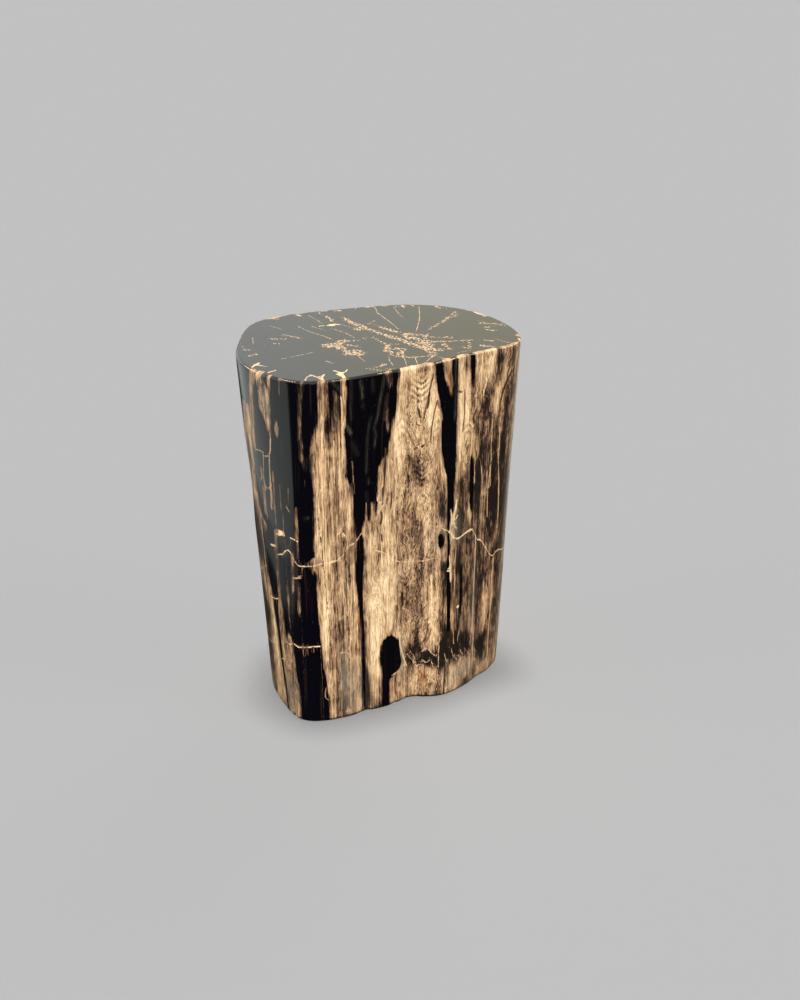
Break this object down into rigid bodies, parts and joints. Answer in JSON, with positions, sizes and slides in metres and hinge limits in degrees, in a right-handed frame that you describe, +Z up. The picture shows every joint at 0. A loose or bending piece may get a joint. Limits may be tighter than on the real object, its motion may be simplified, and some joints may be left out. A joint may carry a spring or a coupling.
{
  "type": "petrified wood stump",
  "caption": "Solid stump of petrified wood, sawn flat at top and base and polished all round, used as a low side table or stool.",
  "frame": {"origin": "middle of the bounding box, on the plane of the sawn base", "axes": "+Z up along the grain of the trunk, -Y towards the broad flat side with the cream panels, +X to the right of that side"},
  "size_m": [0.32, 0.2698, 0.42],
  "materials": {
    "petrified_wood": "polished black silicified wood with cream and brown grain"
  },
  "bodies": {
    "root": {"stump": "petrified_wood"}
  },
  "joints": []
}
